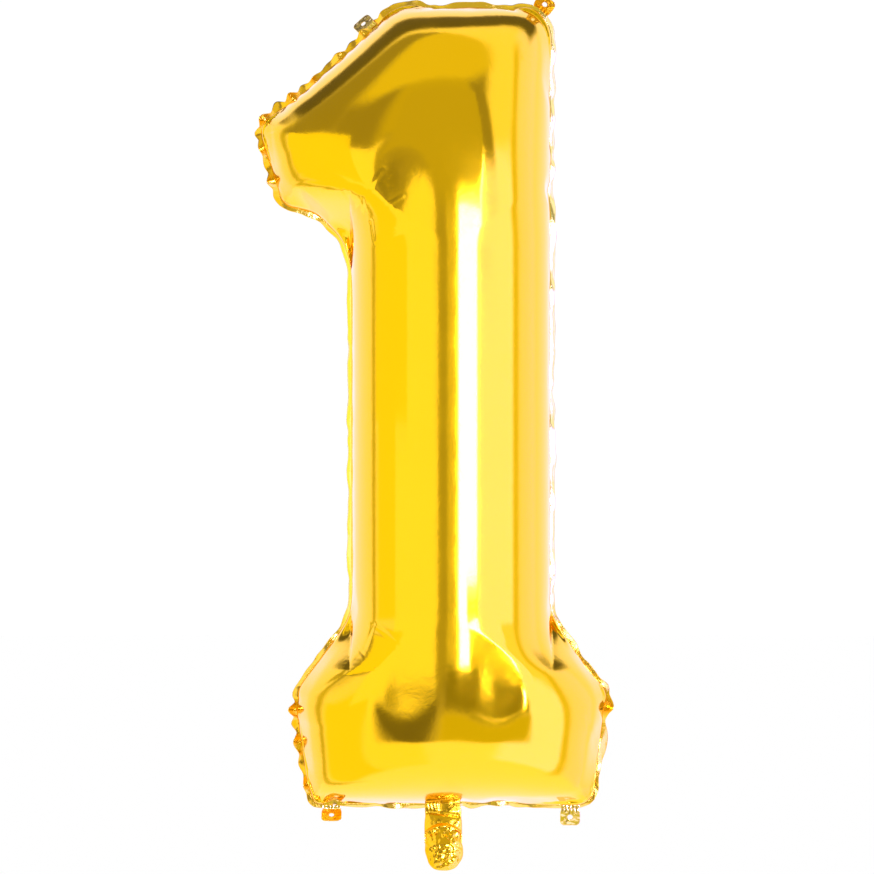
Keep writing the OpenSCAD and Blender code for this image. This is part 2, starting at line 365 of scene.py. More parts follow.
def between(value, rise, fall):
    return ramp(value, *rise) * ramp(-value, -fall[1], -fall[0])


onStem = between(points[:, 2], calm["stemRise"], calm["stemFall"])
strength = calm["all"] + (calm["stem"] - calm["all"]) * onStem
strength[:edgeCount] = 0
strength[ringOne:] = 0
for turn in range(calm["rounds"]):
    points += strength[:, None] * (neighbourMean(points) - points)
    points -= calm["giveBack"] * strength[:, None] * (neighbourMean(points) - points)
# Well inside the seam the film lies without folds, so it is evened out in its own plane too
free = (strength > 0) * ramp(outlineDistance(flatAll, flatEdge), *calm["evenRise"])
for turn in range(calm["evenRounds"]):
    spread = neighbourMean(points) - points
    for k in (0, 2):
        points[:, k] += calm["even"] * free * spread[:, k]
writePoints(bag.data, points / 1000)
subdivision = bag.modifiers.new("Subdivision", "SUBSURF")
subdivision.levels = subdivision.render_levels = 2
applyModifiers(bag)

print("taking up the full form")
form = {  # the smooth shape full pressure pulls the film into, in millimetres
    "cell": 4.0,
    "turns": 300,
    "relax": 1.93,
    "outside": 105,
    "ring": (6, 20),
    "ringSpread": 40,
    "soft": 96,
    "most": 113,
    "share": 0.92,
    "shareRise": (30, 80),
    "heights": (-10, 881, 5.0),
    "stemRise": (145, 215),
    "stemFall": (600, 670),
    "stemDepth": 107.5,
    "coreShare": 0.8,
    "coreRise": (50, 130),
    "coreFall": (650, 730),
    "coreAcross": (20, 90),
    "roll": (8, 28),
}


def beside(values):
    return [np.roll(values, step, axis) for axis in (0, 1) for step in (1, -1)]


def pressedForm():
    cell = form["cell"]
    low, high = goalEdge.min(0) - 4 * cell, goalEdge.max(0) + 4 * cell
    shape = tuple(np.ceil((high - low) / cell).astype(int) + 1)
    columns, rows = np.arange(shape[0]), np.arange(shape[1])
    flat = (low + cell * np.stack(np.meshgrid(columns, rows, indexing="ij"), -1)).reshape(-1, 2)
    away = outlineDistance(flat, goalEdge) * np.where(insideOutline(flat, goalEdge), 1, -1)
    away = away.reshape(shape)
    swell = np.where(away > 0, 0, form["outside"] * away)
    red = np.add.outer(columns, rows) % 2 == 0
    for turn in range(form["turns"]):
        for colour in (red, ~red):
            pull = sum(beside(swell)) / 4 + cell * cell / 4 - swell
            swell = np.where(colour & (away > 0), swell + form["relax"] * pull, swell)
    # the edge's radius follows from how steeply the form rises in a ring beside it
    ring = (away > form["ring"][0]) & (away < form["ring"][1])
    top = np.where(ring, swell / np.where(ring, away, 1) + away / 2, 0)
    bottom = ring.astype(float)
    for turn in range(form["ringSpread"]):
        top, bottom = [sum(beside(v), v) / 5 for v in (top, bottom)]
    return low, swell, top / np.maximum(bottom, 1e-9)


def gridSample(values, low, at):
    place = (at - low) / form["cell"]
    whole = np.clip(np.floor(place).astype(int), 1, np.array(values.shape) - 3)
    t = np.clip(place - whole, 0, 1)
    weights = np.stack([(1 - t) ** 3, 3 * t ** 3 - 6 * t ** 2 + 4,
                        -3 * t ** 3 + 3 * t ** 2 + 3 * t + 1, t ** 3]) / 6
    total = np.zeros(len(at))
    for i in range(4):
        for j in range(4):
            total += weights[i, :, 0] * weights[j, :, 1] * values[whole[:, 0] + i - 1, whole[:, 1] + j - 1]
    return total


def formDepth(at):
    square = np.maximum(2 * gridSample(swell, formLow, at), 0)
    soft, most = form["soft"] ** 2, form["most"] ** 2
    over = np.maximum(square - soft, 0)
    capped = soft + (most - soft) * (1 - np.exp(-over / (most - soft)))
    return np.sqrt(np.where(square < soft, square, capped))


print("making the mesh finer along the creases")
creases = {
    "front": [  # points as x, z, then depth and half width
        ([(-109, 634), (-92, 660), (-74, 684)], 0.41, 1.6),
        ([(-86, 632), (-70, 646), (-52, 657)], 0.36, 1.4),
        ([(-80, 609), (-70, 616), (-60, 620)], 0.27, 1.2),
        ([(-182, 671), (-156, 677), (-132, 673)], 0.27, 1.3),
        ([(-197, 737), (-192, 698), (-186, 676)], 0.41, 1.4),
        ([(-116, 665), (-105, 649)], 0.36, 1.3),
        ([(-95, 656), (-92, 632)], 0.36, 1.2),
        ([(-86, 632), (-82, 608)], 0.32, 1.2),
        ([(-86, 200), (-70, 190), (-54, 176)], 0.36, 1.4),
        ([(-105, 178), (-92, 164), (-78, 148)], 0.27, 1.3),
        ([(-83, 200), (-94, 172), (-116, 146), (-160, 116)], 0.32, 1.4),
        ([(147, 98), (156, 70), (162, 34)], 0.27, 1.6),
        ([(-74, 868), (-74, 851)], 0.32, 1.2),
        ([(53, 868), (53, 850)], 0.32, 1.2),
        ([(81, 810), (103, 806)], 0.27, 1.2),
        ([(-164, 60), (-155, 62)], 0.27, 1.0),
    ] + [([(-156, z), (-141, z + 1)], 0.18, 1.0) for z in range(14, 60, 6)],
    "back": [
        ([(-110, 634), (-88, 664), (-66, 690)], 0.41, 1.6),
        ([(-88, 628), (-68, 640), (-46, 648)], 0.36, 1.4),
        ([(-84, 606), (-64, 608)], 0.27, 1.2),
        ([(-188, 670), (-160, 682), (-128, 684)], 0.27, 1.4),
        ([(104, 206), (84, 190), (58, 182)], 0.41, 1.5),
        ([(108, 186), (92, 160), (80, 132)], 0.32, 1.4),
        ([(-104, 204), (-84, 192), (-62, 186)], 0.36, 1.4),
        ([(-150, 100), (-158, 66), (-156, 30)], 0.32, 1.5),
        ([(20, 868), (24, 846)], 0.32, 1.2),
        ([(84, 780), (105, 774)], 0.27, 1.2),
    ],
}
creaseShape = {  # how a crease fades along its run, and its groove and shoulders in half widths
    "run": 1.15,
    "fade": 0.7,
    "shoulder": 0.45,
    "shoulderAt": 2.4,
    "shoulderWidth": 1.3,
    "finer": 3.4,
    "finerMore": 2,
    "seamRise": (0, 10),
}
centres = np.zeros(len(bag.data.polygons) * 3, np.float32)
bag.data.polygons.foreach_get("center", centres)
centres = centres.reshape(-1, 3) * 1000
finer = np.zeros(len(centres), bool)
for name, front in (("front", True), ("back", False)):
    for line, deep, half in creases[name]:
        line = np.array(line, float)
        for a, b in zip(line[:-1], line[1:]):
            off = lineDistance(centres[:, [0, 2]], a, b)[0]
            reached = off < creaseShape["finer"] * half + creaseShape["finerMore"]
            finer |= reached & ((centres[:, 1] < 0) == front)
makeActive(bag)
bpy.ops.object.mode_set(mode="EDIT")
bpy.ops.mesh.select_all(action="DESELECT")
bpy.ops.object.mode_set(mode="OBJECT")
bag.data.polygons.foreach_set("select", finer)
bpy.ops.object.mode_set(mode="EDIT")
bpy.ops.mesh.select_mode(type="FACE")
bpy.ops.mesh.subdivide(number_cuts=1, ngon=False)
bpy.ops.object.mode_set(mode="OBJECT")
points = readPoints(bag.data) * 1000
place = np.zeros(len(points) * 3, np.float32)
bag.data.attributes["flatPlace"].data.foreach_get("vector", place)
place = place.reshape(-1, 3)[:, :2].astype(float)
sideOf = np.zeros(len(bag.data.polygons), np.int32)
bag.data.polygons.foreach_get("material_index", sideOf)
quads = [tuple(p.vertices) for p in bag.data.polygons]
flatRun = alongLoop(flatEdge)
runLength = flatRun[-1]

print("ruffling the seam")
ruffle = {  # how the seam puckers on each stretch that starts at a corner, from the bottom edge anticlockwise
    "width": 5,
    "spacing": [38, 24, 30, 34, 40, 26, 20, 34, 60, 30, 24],
    "depth": [0.8, 2.6, 1.4, 1.0, 0.8, 2.2, 2.4, 1.2, 0.5, 1.4, 2.6],
    "lobe": [0.8, 3.0, 1.5, 0.8, 0.8, 3.2, 2.4, 0.8, 0.3, 1.6, 2.6],
    "pinch": [0.6, 1.2, 1.0, 0.4, 0.6, 1.1, 1.1, 1.0, 0.2, 1.0, 1.1],
    # painted highlight: how much paler each stretch of the seam is painted
    "paintedSheen": [0.35, 0.1, 0.1, 0.9, 0.3, 0.1, 0.0, 0.3, 1.0, 0.3, 0.0],
    # seed, reach along the seam and amount of what makes it uneven
    "spacingNoise": (4, 20, 0.3),
    "strengthNoise": (5, 16, 0.45),
    "widthNoise": (6, 6, 0.15),
    "tipNoise": (7, 4, 0.8),
    "strengthRange": (0.2, 2),
    "round": 14,
    "inward": 80,
    "pucker": 70,
    "puckerFall": 8,
    "pinchAt": 9,
    "sharp": 1.5,
    "tip": 0.9,
    "paleLift": 3.2,
    "thickness": 0.0004,
}


def seamPlace(flat):
    best, run = np.full(len(flat), 1e9), np.zeros(len(flat))
    for k in range(edgeCount):
        a, b = flatEdge[k], flatEdge[(k + 1) % edgeCount]
        near = np.abs(flat - (a + b) / 2).max(1) < ruffle["inward"]
        gap, share = lineDistance(flat[near], a, b)
        index = np.nonzero(near)[0]
        closer = gap < best[index]
        index = index[closer]
        best[index] = gap[closer]
        run[index] = flatRun[k] + share[closer] * (flatRun[k + 1] - flatRun[k])
    return best, run % runLength


isSide = [np.zeros(len(points), bool) for k in range(3)]
for face, side in zip(quads, sideOf):
    isSide[side][list(face)] = True
gap, run = seamPlace(place)
fineRun = np.arange(0, runLength, 1.0)
cornerRun = np.array([flatRun[i] for i in flatMiddles])


def alongSeam(name):
    stretch = np.searchsorted(cornerRun, fineRun, side="right") - 1
    return smoothLoop(np.array(ruffle[name], float)[stretch], ruffle["round"])


def uneven(name):
    seed, reach, amount = ruffle[name]
    return amount * waves(seed, len(fineRun), reach)


rate = 1 / alongSeam("spacing") * (1 + uneven("spacingNoise"))
phase = math.pi * np.cumsum(rate)
phase *= 2 * math.pi * round(phase[-1] / 2 / math.pi) / phase[-1]
strengthRun = np.clip(1 + uneven("strengthNoise"), *ruffle["strengthRange"])
puckerRun = alongSeam("depth") * strengthRun * np.sin(phase)
lobeRun = alongSeam("lobe") * strengthRun * np.abs(np.sin(phase)) ** ruffle["sharp"]
pinchRun = alongSeam("pinch") * strengthRun


def sample(values, at):
    return np.interp(at, fineRun, values, period=runLength)


panel = isSide[0] | isSide[1]
onSeam = isSide[0] & isSide[1]
seamIndex = np.nonzero(onSeam)[0]
seamIndex = seamIndex[np.argsort(run[seamIndex])]


def seamLine():
    line = [np.interp(fineRun, run[seamIndex], points[seamIndex, k], period=runLength) for k in range(3)]
    line = np.stack(line, 1)
    along = np.roll(smoothLoop(line, 5), -1, 0) - np.roll(smoothLoop(line, 5), 1, 0)
    out = np.stack([along[:, 2], 0 * along[:, 0], -along[:, 0]], 1)
    return line, out / np.linalg.norm(out, axis=1)[:, None]


# Near the seam the film rolls over a round edge; further in it lies on the full form
formLow, swell, edgeRadius = pressedForm()
seamAt, seamOut = seamLine()
inside = panel & ~onSeam
facing = np.where(isSide[0], -1, 1)
radius = gridSample(edgeRadius, formLow, points[:, [0, 2]])
roll = 1 - ramp(gap, *form["roll"])
drawn = radius * (1 - np.cos(gap / radius))
for k in (0, 2):
    rolled = sample(seamAt[:, k], run) - drawn * sample(seamOut[:, k], run)
    points[inside, k] += (roll * (rolled - points[:, k]))[inside]
full = formDepth(points[:, [0, 2]])
heights = np.arange(*form["heights"])
middle = formDepth(np.stack([0 * heights, heights], 1))
onStem = between(heights, form["stemRise"], form["stemFall"])
middle += (form["stemDepth"] - middle) * onStem
across = np.sqrt(np.clip(1 - (points[:, 0] / (inflated["stemHalf"] + 0.5)) ** 2, 0, 1))
tube = across * np.interp(points[:, 2], heights, middle)
core = between(points[:, 2], form["coreRise"], form["coreFall"])
core *= form["coreShare"] * (1 - ramp(np.abs(points[:, 0]), *form["coreAcross"]))
full += np.maximum(np.interp(points[:, 2], heights, onStem), core) * (tube - full)
share = form["share"] + (1 - form["share"]) * ramp(gap, *form["shareRise"])
eased = points[:, 1] + share * (facing * full - points[:, 1])
eased = roll * facing * radius * np.sin(gap / radius) + (1 - roll) * eased
points[inside, 1] = eased[inside]
print("depth of the body", round(float(np.ptp(points[inside, 1]))))

near = panel & (gap < ruffle["pucker"])
points[near, 1] += sample(puckerRun, run)[near] * np.exp(-gap[near] / ruffle["puckerFall"])
fold = np.clip(-sample(np.sin(phase), run) * facing, 0, 1) ** ruffle["sharp"]
inward = gap / ruffle["pinchAt"]
near &= ~onSeam
points[near, 1] -= (facing * sample(pinchRun, run) * fold * inward * np.exp(1 - inward))[near]
seamAt, seamOut = seamLine()
outer = isSide[2] & ~onSeam
reach = np.clip(gap / film["flange"], 0, 1)
reachRun = ruffle["width"] * (0.9 + uneven("widthNoise")) + lobeRun
tipRun = puckerRun * ruffle["tip"] + uneven("tipNoise") * alongSeam("depth") / 3
# the flange tips stand up more along the stretches painted paler
tipRun += ruffle["paleLift"] * alongSeam("paintedSheen")
for k in range(3):
    welded = sample(seamAt[:, k], run) + reach * sample(reachRun, run) * sample(seamOut[:, k], run)
    points[outer, k] = welded[outer]
points[outer, 1] += (reach ** ruffle["sharp"] * sample(tipRun, run))[outer]

print("creasing the panels")


def creaseDepth(flat, lines):
    depth = np.zeros(len(flat))
    for line, deep, half in lines:
        line = np.array(line, float)
        total = np.sum(np.linalg.norm(np.diff(line, axis=0), axis=1))
        best, along, done = np.full(len(flat), 1e9), np.zeros(len(flat)), 0
        for a, b in zip(line[:-1], line[1:]):
            off, share = lineDistance(flat, a, b)
            size = np.linalg.norm(b - a)
            closer = off < best
            best = np.where(closer, off, best)
            along = np.where(closer, (done + share * size) / total, along)
            done += size
        fade = np.clip(creaseShape["run"] - along, 0, 1) ** creaseShape["fade"]
        shoulder = (best - creaseShape["shoulderAt"] * half) / (creaseShape["shoulderWidth"] * half)
        groove = np.exp(-(best / half)) - creaseShape["shoulder"] * np.exp(-shoulder ** 2)
        depth += deep * fade * groove
    return depth


for side, name, sign in ((0, "front", 1), (1, "back", -1)):
    mine = isSide[side] & ~onSeam
    depth = creaseDepth(points[mine][:, [0, 2]], creases[name]) * ramp(gap[mine], *creaseShape["seamRise"])
    points[mine, 1] += sign * depth

print("dividing the body into its films")


def pieceFrom(name, side):
    chosen = [face for face, s in zip(quads, sideOf) if s == side]
    used, inverse = np.unique(np.concatenate(chosen), return_inverse=True)
    ends = np.cumsum([len(face) for face in chosen])
    obj = newMesh(name, placed(points[used]), np.split(inverse, ends[:-1]))
    uv = obj.data.uv_layers.new(name="flat")
    flat = (run if side == 2 else place[:, 0])[used], (gap if side == 2 else place[:, 1])[used]
    flat = np.stack(flat, 1)[inverse] / 1000
    uv.data.foreach_set("uv", flat.astype(np.float32).ravel())
    shadeSmooth(obj)
    return obj


frontSkin = pieceFrom("frontSkin", 0)
backSkin = pieceFrom("backSkin", 1)
seamRuffle = pieceFrom("seamRuffle", 2)
# painted highlight: the share of the paler colour painted along the seam, read by the seam's material
paintedSheenShare = seamRuffle.data.attributes.new("paintedSheen", "FLOAT", "POINT")
seamPoints = np.unique(np.concatenate([face for face, side in zip(quads, sideOf) if side == 2]))
paintedSheenShare.data.foreach_set("value", sample(alongSeam("paintedSheen"), run[seamPoints]).astype(np.float32))
bpy.data.objects.remove(bag)
thin = seamRuffle.modifiers.new("Solidify", "SOLIDIFY")
thin.thickness = ruffle["thickness"]
thin.offset = 0
applyModifiers(seamRuffle)
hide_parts("front_panel")
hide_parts("back_panel")
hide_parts("seam_band")
for piece, slotName in ((frontSkin, "gold_foil"), (backSkin, "gold_foil"), (seamRuffle, "gold_foil_seam")):
    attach(piece, "balloon")

print("neck and tail")


def gridFaces(columns, rows, closed=True):
    faces = []
    for i in range(rows - 1):
        for j in range(columns if closed else columns - 1):
            a, b = i * columns + j, i * columns + (j + 1) % columns
            faces.append((a, a + columns, b + columns, b))
    return faces


def crumple(across, along, seed, size, folds=9, spacing=(5, 16)):
    rng = np.random.default_rng(seed)
    total = np.zeros(np.shape(across))
    for k in range(folds):
        angle, length, start = rng.uniform(0, math.pi), rng.uniform(*spacing), rng.uniform(0, 6.28)
        wave = (np.cos(angle) * across + np.sin(angle) * along) * math.pi / length + start
        wave = wave + 0.7 * np.sin(0.11 * across * rng.uniform(0.6, 1.6) + start)
        total += (np.abs(np.sin(wave)) - 0.64) * rng.uniform(0.4, 1) * length / spacing[1]
    return size * total / math.sqrt(folds)


neck = {  # two flat plies below the bottom seam, in millimetres
    "columns": 49,
    "rows": 45,
    "middle": -8.5,
    "half": 20.5,
    "top": 7,
    "lip": -34,
    "arch": 9.5,
    "backEnd": -44,
    "puff": 3.4,
    "crumple": 0.9,
    "frontSeed": 21,
    "backSeed": 22,
    "pleat": 1.1,
    "pleats": 16,
    "weld": 1.3,
    "weldAt": -12,
    "foldLine": 0.9,
    "foldLineAt": -12,
    "lipFlare": 2.6,
    "least": 0.45,
    "thickness": 0.0003,
}


def neckPly(name, front):
    u, v = np.meshgrid(np.linspace(-1, 1, neck["columns"]), np.linspace(0, 1, neck["rows"]))
    bottom = neck["lip"] + neck["arch"] * (1 - u ** 2) if front else neck["backEnd"] + 0 * u
    z = neck["top"] + (bottom - neck["top"]) * v
    gather = 1 - 0.07 * ramp(z, -14, 2) - 0.04 * np.exp(-((z + 14) / 5) ** 2)
    x = neck["middle"] + neck["half"] * gather * u - 1.5 * ramp(z, -10, 4)
    opened = ramp(-z, -2, 30)
    y = 0.5 + neck["puff"] * (1 - u ** 2) ** 0.7 * (0.25 + 0.75 * opened)
    edge = ramp(1 - np.abs(u), 0, 0.18)
    folds = crumple(x, z, neck["frontSeed"] if front else neck["backSeed"], neck["crumple"])
    y += edge * folds * (0.3 + 0.7 * ramp(-z, 12, 30))
    fan = np.exp(-((z - 3) / 9) ** 2) * ramp(-u, -0.2, 0.9)
    y += neck["pleat"] * fan * np.abs(np.sin(u * neck["pleats"] + 0.12 * z))
    y -= neck["weld"] * np.exp(-np.abs(z - neck["weldAt"] + 2 * u) / 1.6) * edge
    y -= neck["foldLine"] * np.exp(-np.abs(x - neck["foldLineAt"]) / 1.4) * ramp(z, -13, -10) * edge
    if front:
        y += neck["lipFlare"] * ramp(v, 0.9, 1) * (0.4 + 0.6 * (1 - u ** 2))
    y = np.maximum(y, neck["least"])
    points = np.stack([x, -y if front else y, z], -1).reshape(-1, 3)
    faces = [(a, d, c, b) for a, b, c, d in gridFaces(neck["columns"], neck["rows"], closed=False)]
    obj = newMesh(name, placed(points), faces)
    if not front:
        obj.data.flip_normals()
    return obj


frontNeck = neckPly("frontNeckPly", True)
backNeck = neckPly("backNeckPly", False)
for ply in (frontNeck, backNeck):
    skin = ply.modifiers.new("Solidify", "SOLIDIFY")
    skin.thickness, skin.offset = neck["thickness"], 0
    applyModifiers(ply)
    shadeSmooth(ply)
    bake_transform(ply)
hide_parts("neck_front_film")
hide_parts("neck_back_film")

pouch = {  # the puffed end, in millimetres
    "columns": 112,
    "rows": 84,
    "top": -23,
    "end": -74.2,
    "half": 19.3,
    "deep": 7.0,
    "lean": 2.6,
    "sideFolds": {"seed": 31, "size": 1.7, "folds": 22, "spacing": (3, 9)},
    "edgeFolds": {"seed": 33, "size": 1.2, "folds": 5, "spacing": (4, 9)},
}


def pouchPiece():
    columns, rows = pouch["columns"], pouch["rows"]
    turn, v = np.meshgrid(np.linspace(0, 2 * math.pi, columns, endpoint=False), np.linspace(0, 1, rows))
    z = pouch["top"] + (pouch["end"] - pouch["top"]) * np.sin(v * math.pi / 2) ** 0.92
    share = (z - pouch["top"]) / (pouch["end"] - pouch["top"])
    width = pouch["half"] * np.clip(1 - share ** 7, 0, 1) ** (1 / 2.4) * (1 - 0.05 * np.sin(share * 9))
    deep = pouch["deep"] * (0.32 + 0.68 * ramp(share, 0.1, 0.45)) * np.clip(1 - share ** 5, 0, 1) ** 0.5
    c, s = np.cos(turn), np.sin(turn)
    x = width * np.sign(c) * np.abs(c) ** 0.9
    y = deep * np.sign(s) * np.abs(s) ** 1.15
    fold = crumple(x + 40 * (s > 0), z, **pouch["sideFolds"]) * np.abs(s) ** 0.5
    y += np.sign(s) * np.clip(fold, -0.6 * np.abs(y), 3)
    x += 0.6 * crumple(z, y, **pouch["edgeFolds"]) * np.abs(c) ** 2 * np.clip(1 - share ** 8, 0, 1)
    x += neck["middle"] + pouch["lean"] * np.exp(-((share - 0.7) / 0.25) ** 2) * (c > 0) * np.abs(c)
    points = np.stack([x, y, z], -1).reshape(-1, 3)
    points = np.concatenate([points, [points[-columns:].mean(0)], [points[:columns].mean(0)]])
    faces = gridFaces(columns, rows)
    last, tip, cap = (rows - 1) * columns, len(points) - 2, len(points) - 1
    for j in range(columns):
        k = (j + 1) % columns
        faces += [(last + j, tip, last + k), (j, k, cap)]
    obj = newMesh("tailPouch", placed(points), faces)
    makeActive(obj)
    bpy.ops.object.mode_set(mode="EDIT")
    bpy.ops.mesh.select_all(action="SELECT")
    bpy.ops.mesh.remove_doubles(threshold=0.00002)
    bpy.ops.mesh.normals_make_consistent(inside=False)
    bpy.ops.object.mode_set(mode="OBJECT")
    shadeSmooth(obj)
    return obj


tailPouch = pouchPiece()
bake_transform(tailPouch)
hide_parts("tail_front_film", "tail_back_film")

print("tabs")
tab = {  # in millimetres, measured outward from the fold
    "around": 96,
    "rings": 15,
    "half": 11,
    "root": -4.5,
    "end": 19,
    "round": 5,
    "hole": 2.75,
    "holeAt": 9.5,
    "crumple": {"size": 0.7, "folds": 8, "spacing": (4, 12)},
    "thickness": 0.0005,
    # fold point as x and z, direction outward, tilt towards the back, seed
    "places": {
        "tab_top_left": ((-91.8, 848.5), 131.35, 48, 41),
        "tab_top_right": ((97.9, 867.1), 52, -38, 42),
        "tab_bottom_left": ((-130.5, -6.5), -90, -52, 43),
        "tab_bottom_right": ((130.5, -6.5), -90, 14, 44),
    },
}


def tabPiece(name, fold, direction, tilt, seed):
    around, rings = tab["around"], tab["rings"]
    angle = np.arange(around) * 2 * math.pi / around + 0.001
    c, s = np.cos(angle), np.sin(angle)
    far = np.where(c > 0, tab["end"] - tab["holeAt"], tab["holeAt"] - tab["root"])
    size = np.minimum(far / np.maximum(np.abs(c), 1e-6), tab["half"] / np.maximum(np.abs(s), 1e-6))
    outer = np.stack([c * size, s * size], 1)
    corner = tab["end"] - tab["holeAt"] - tab["round"], tab["half"] - tab["round"]
    over = np.maximum(np.stack([outer[:, 0] - corner[0], np.abs(outer[:, 1]) - corner[1]], 1), 0)
    long = np.linalg.norm(over, axis=1)
    pull = np.where((over > 0).all(1) & (long > tab["round"]), tab["round"] / np.maximum(long, 1e-6), 1)
    outer[:, 0] -= over[:, 0] * (1 - pull)
    outer[:, 1] -= np.sign(outer[:, 1]) * over[:, 1] * (1 - pull)
    inner = tab["hole"] * np.stack([c, s], 1)
    share = np.linspace(0, 1, rings)[:, None, None] ** 1.15
    flat = inner + share * (outer - inner)
    a = (flat[..., 0] + tab["holeAt"]).ravel()
    b = flat[..., 1].ravel()
    lift = crumple(a, b, seed, **tab["crumple"]) * ramp(np.hypot(a - tab["holeAt"], b), 2.8, 6)
    lift += 0.9 * np.exp(-np.abs(a) / 3) * np.abs(np.sin(b * 0.75 + seed))
    b = b * (1 - 0.1 * np.exp(-(a / 3) ** 2))
    t, d = math.radians(tilt), math.radians(direction)
    bend = ramp(a, -1.5, 2.5) * t
    run = np.clip(a, 0, None)
    out = np.where(a > 0, run * math.cos(t), a) - lift * np.sin(bend)
    back = run * math.sin(t) + lift * np.cos(bend)
    x = fold[0] + out * math.cos(d) - b * math.sin(d)
    z = fold[1] + out * math.sin(d) + b * math.cos(d)
    obj = newMesh(name, placed(np.stack([x, back, z], 1)), gridFaces(around, rings))
    skin = obj.modifiers.new("Solidify", "SOLIDIFY")
    skin.thickness, skin.offset = tab["thickness"], 0
    applyModifiers(obj)
    shadeSmooth(obj)
    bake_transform(obj)
    return obj


tabPieces = []
for name, (fold, direction, tilt, seed) in tab["places"].items():
    piece = tabPiece(name, fold, direction, tilt, seed)
    piece.name = "foil_" + name
    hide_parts(name)
    tabPieces.append(piece)

print("foil and film")


def newMaterial(name):
    material = bpy.data.materials.new(name)
    material.use_nodes = True
    tree = material.node_tree
    return material, tree, tree.nodes["Principled BSDF"]


def node(tree, kind, **settings):
    made = tree.nodes.new(kind)
    for key, value in settings.items():
        if hasattr(made, key):
            setattr(made, key, value)
        else:
            made.inputs[key.replace("_", " ")].default_value = value
    return made


def foilMaterial(name, colour, deeper, wrinkle, roughness, paintedSheen=None):
    material, tree, shader = newMaterial(name)
    link = tree.links.new
    shader.inputs["Metallic"].default_value = 1
    shader.inputs["Coat Weight"].default_value = 0.25
    shader.inputs["Coat Roughness"].default_value = 0.06
    where = node(tree, "ShaderNodeTexCoord")
    broad = node(tree, "ShaderNodeTexNoise", Scale=9.0, Detail=3.0, Roughness=0.5)
    link(where.outputs["Object"], broad.inputs["Vector"])
    tint = node(tree, "ShaderNodeMix", data_type="RGBA")
    tint.inputs[6].default_value = (*colour, 1)
    tint.inputs[7].default_value = (*deeper, 1)
    link(broad.outputs["Fac"], tint.inputs[0])
    shade = tint.outputs[2]
    if paintedSheen:  # painted highlight: along some stretches the welded edge is painted paler, standing in for its bright reflections
        paintedSheenAmount = node(tree, "ShaderNodeAttribute", attribute_name="paintedSheen")
        paintedSheenMix = node(tree, "ShaderNodeMix", data_type="RGBA")
        link(paintedSheenAmount.outputs["Fac"], paintedSheenMix.inputs[0])
        link(shade, paintedSheenMix.inputs[6])
        paintedSheenMix.inputs[7].default_value = (*paintedSheen, 1)
        shade = paintedSheenMix.outputs[2]
    link(shade, shader.inputs["Base Color"])
    handled = node(tree, "ShaderNodeTexNoise", Scale=34.0, Detail=4.0, Roughness=0.6)
    link(where.outputs["Object"], handled.inputs["Vector"])
    sheen = node(tree, "ShaderNodeMapRange", From_Min=0.3, From_Max=0.75,
                 To_Min=roughness, To_Max=roughness * 1.8)
    link(handled.outputs["Fac"], sheen.inputs["Value"])
    link(sheen.outputs["Result"], shader.inputs["Roughness"])
    crinkle = node(tree, "ShaderNodeTexNoise", Scale=70.0, Detail=5.0, Roughness=0.55, Distortion=0.6)
    link(where.outputs["Object"], crinkle.inputs["Vector"])
    grain = node(tree, "ShaderNodeTexNoise", Scale=900.0, Detail=2.0)
    link(where.outputs["Object"], grain.inputs["Vector"])
    soft = node(tree, "ShaderNodeBump", Strength=1.0, Distance=wrinkle)
    link(crinkle.outputs["Fac"], soft.inputs["Height"])
    fine = node(tree, "ShaderNodeBump", Strength=1.0, Distance=0.000004)
    link(grain.outputs["Fac"], fine.inputs["Height"])
    link(soft.outputs["Normal"], fine.inputs["Normal"])
    link(fine.outputs["Normal"], shader.inputs["Normal"])
    return material


foils = {  # colour, deeper colour, height of the wrinkles in metres, roughness, paler colour painted on as a highlight
    "goldFoil": ((1.0, 0.575, 0.006), (0.99, 0.555, 0.005), 0.0001, 0.08),
    "seamFoil": ((1.0, 0.56, 0.03), (0.93, 0.47, 0.012), 0.0008, 0.14, (1.0, 0.8, 0.24)),
    # painted light: the tabs' gold is painted paler than the body's, offsetting the shade and double
    # reflections they lie in
    "tabFoilPaintedPaler": ((1.0, 0.72, 0.26), (0.98, 0.64, 0.14), 0.001, 0.12),
    "neckFoil": ((1.0, 0.56, 0.02), (0.95, 0.5, 0.012), 0.0008, 0.1),
}
goldFoil, seamFoil, tabFoilPaintedPaler, neckFoil = [foilMaterial(name, *values) for name, values in foils.items()]


def clearMaterial():
    material, tree, shader = newMaterial("clearFilm")
    shader.inputs["Base Color"].default_value = (0.88, 0.92, 0.95, 1)
    shader.inputs["Transmission Weight"].default_value = 0.85
    shader.inputs["IOR"].default_value = 1.45
    where = node(tree, "ShaderNodeTexCoord")
    haze = node(tree, "ShaderNodeTexNoise", Scale=60.0, Detail=3.0)
    tree.links.new(where.outputs["Object"], haze.inputs["Vector"])
    dull = node(tree, "ShaderNodeMapRange", To_Min=0.12, To_Max=0.3)
    tree.links.new(haze.outputs["Fac"], dull.inputs["Value"])
    tree.links.new(dull.outputs["Result"], shader.inputs["Roughness"])
    return material


clearFilm = clearMaterial()


def paint(obj, material):
    obj.data.materials.clear()
    obj.data.materials.append(material)


paint(frontSkin, goldFoil)
paint(backSkin, goldFoil)
paint(seamRuffle, seamFoil)
for piece in (frontNeck, backNeck, tailPouch):
    paint(piece, neckFoil)
for piece in tabPieces:
    paint(piece, tabFoilPaintedPaler)
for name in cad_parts:
    if name.startswith("valve"):
        paint(bpy.data.objects[name], clearFilm)

